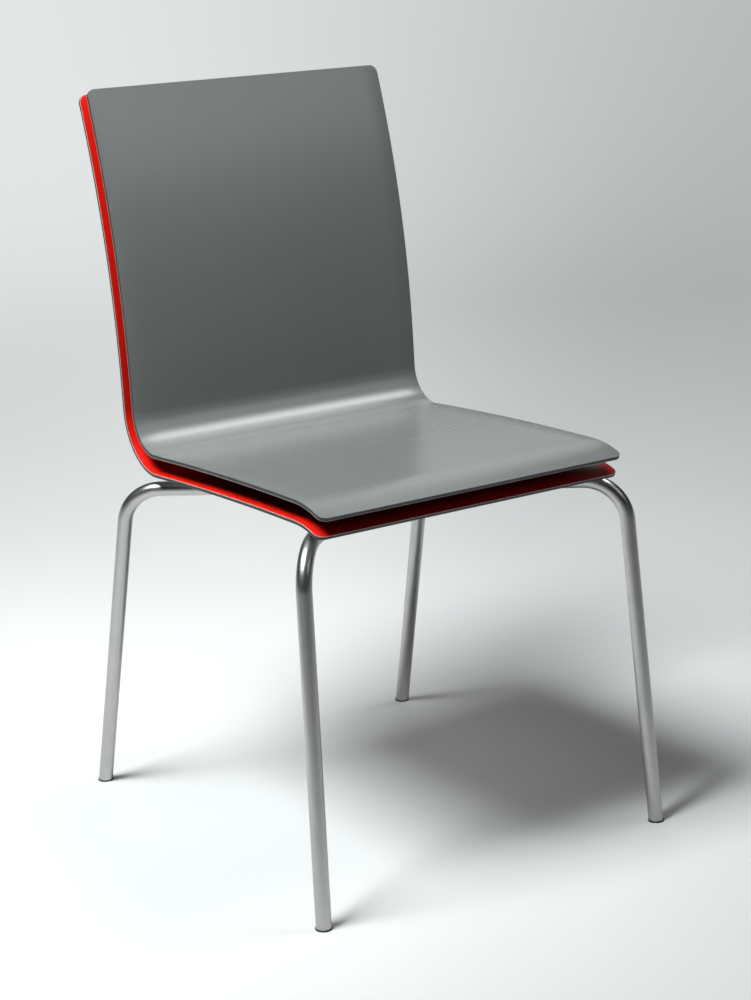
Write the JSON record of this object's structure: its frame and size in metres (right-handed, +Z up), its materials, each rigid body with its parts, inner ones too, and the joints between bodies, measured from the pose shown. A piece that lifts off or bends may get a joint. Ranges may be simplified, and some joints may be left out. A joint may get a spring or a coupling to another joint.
{
  "type": "stacking chair",
  "caption": "Rigid stacking chair: a grey bent laminate shell nested over a red-lined one, held apart by bosses, on a cross frame of bent steel tube legs with plastic foot caps.",
  "frame": {"origin": "on the floor, midway between the four feet", "axes": "+Z up; -Y is the front of the chair, where the sitter's knees go; +X is to the right as seen from the front"},
  "size_m": [0.4738, 0.5408, 0.8492],
  "materials": {
    "grey_laminate": "satin",
    "black_core": "matt, machined edge",
    "red_laminate": "satin gloss, pale ply at its edge",
    "black_laminate": "satin, thin pale line at its edge",
    "satin_steel": "satin, ground along the tube",
    "cap_plastic": "moulded, matt",
    "black_nylon": "moulded, fine texture",
    "insert_brass": "turned",
    "zinc_steel": "zinc plated"
  },
  "bodies": {
    "root": {"front_shell_face": "grey_laminate", "front_shell_core": "black_core", "front_shell_lining": "black_laminate", "rear_shell_lining": "red_laminate", "rear_shell_core": "black_core", "rear_shell_face": "grey_laminate", "front_left_leg_tube": "satin_steel", "front_right_leg_tube": "satin_steel", "rear_left_leg_tube": "satin_steel", "rear_right_leg_tube": "satin_steel", "centre_hub": "satin_steel", "hub_welds": "satin_steel", "front_left_foot_cap": "cap_plastic", "front_right_foot_cap": "cap_plastic", "rear_left_foot_cap": "cap_plastic", "rear_right_foot_cap": "cap_plastic", "front_left_saddle_pad": "black_nylon", "front_right_saddle_pad": "black_nylon", "rear_left_saddle_pad": "black_nylon", "rear_right_saddle_pad": "black_nylon", "front_left_seat_boss": "black_nylon", "front_right_seat_boss": "black_nylon", "rear_left_seat_boss": "black_nylon", "rear_right_seat_boss": "black_nylon", "left_back_boss": "black_nylon", "right_back_boss": "black_nylon", "seat_inserts": "insert_brass", "back_inserts": "insert_brass", "seat_screws": "zinc_steel", "saddle_washers": "zinc_steel", "back_screws": "zinc_steel", "back_washers": "black_nylon"}
  },
  "joints": []
}
